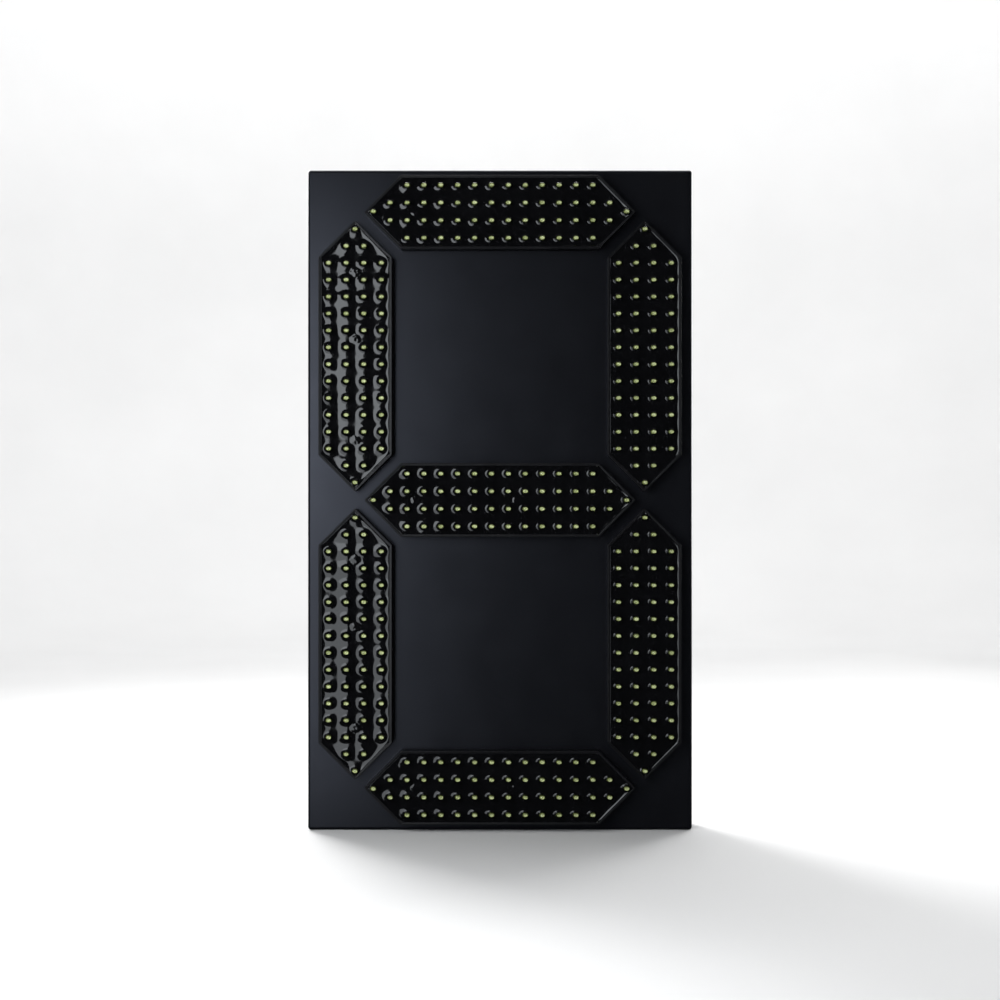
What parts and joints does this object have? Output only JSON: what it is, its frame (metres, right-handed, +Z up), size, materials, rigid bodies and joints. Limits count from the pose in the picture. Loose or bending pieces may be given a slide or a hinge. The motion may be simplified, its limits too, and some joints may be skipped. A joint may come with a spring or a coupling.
{
  "type": "LED digit module",
  "caption": "Seven-segment LED digit face for a traffic countdown signal: folded black panel with potted LED trays and a driver board behind it.",
  "frame": {"origin": "centre of the six rear fixing holes, on the seating plane formed by the rear faces of the panel's folded lips", "axes": "+X to the right seen from the front, +Y to the rear, +Z up; the LEDs point towards -Y"},
  "size_m": [0.276, 0.0385, 0.474],
  "materials": {
    "panel_paint": "satin black powder coat, fine texture",
    "tray_plastic": "moulded black plastic, satin",
    "led_lens": "clear to pale yellow-green epoxy",
    "board_laminate": "glass-fibre board with solder mask",
    "potting": "glossy black potting resin",
    "zinc_steel": "zinc plated",
    "resistor": "printed black film on white ceramic",
    "lead_sheath": "soft black insulation",
    "bush_rubber": "moulded black rubber",
    "saddle_nylon": "natural nylon",
    "connector_white": "natural white nylon",
    "header_black": "black moulding",
    "pin_gold": "gold flash over brass",
    "terminal_green": "green moulding",
    "chip_black": "black moulded epoxy",
    "can_sleeve": "sleeved aluminium can"
  },
  "bodies": {
    "root": {"face_panel": "panel_paint", "tray_top": "tray_plastic", "leds_top": "led_lens", "led_board_top": "board_laminate", "potting_top": "potting", "lead_top": "lead_sheath", "tray_upper_right": "tray_plastic", "leds_upper_right": "led_lens", "led_board_upper_right": "board_laminate", "potting_upper_right": "potting", "lead_upper_right": "lead_sheath", "tray_lower_right": "tray_plastic", "leds_lower_right": "led_lens", "led_board_lower_right": "board_laminate", "potting_lower_right": "potting", "lead_lower_right": "lead_sheath", "tray_bottom": "tray_plastic", "leds_bottom": "led_lens", "led_board_bottom": "board_laminate", "potting_bottom": "potting", "lead_bottom": "lead_sheath", "tray_lower_left": "tray_plastic", "leds_lower_left": "led_lens", "led_board_lower_left": "board_laminate", "potting_lower_left": "potting", "lead_lower_left": "lead_sheath", "tray_upper_left": "tray_plastic", "leds_upper_left": "led_lens", "led_board_upper_left": "board_laminate", "potting_upper_left": "potting", "lead_upper_left": "lead_sheath", "tray_middle": "tray_plastic", "leds_middle": "led_lens", "led_board_middle": "board_laminate", "potting_middle": "potting", "lead_middle": "lead_sheath", "board_screws": "zinc_steel", "ballast_resistors": "resistor", "tray_bolts": "zinc_steel", "tray_washers": "zinc_steel", "tray_nuts": "zinc_steel", "driver_board": "board_laminate", "driver_pillars": "zinc_steel", "driver_screws": "zinc_steel", "segment_sockets": "connector_white", "segment_plugs": "connector_white", "data_headers": "header_black", "header_pins": "pin_gold", "power_terminal": "terminal_green", "terminal_screws": "zinc_steel", "shift_register": "chip_black", "output_driver": "chip_black", "switching_transistors": "chip_black", "gate_resistors": "resistor", "smoothing_capacitors": "can_sleeve", "lead_bushes": "bush_rubber", "lead_saddles": "saddle_nylon", "earth_stud": "zinc_steel", "earth_nut": "zinc_steel"}
  },
  "joints": []
}
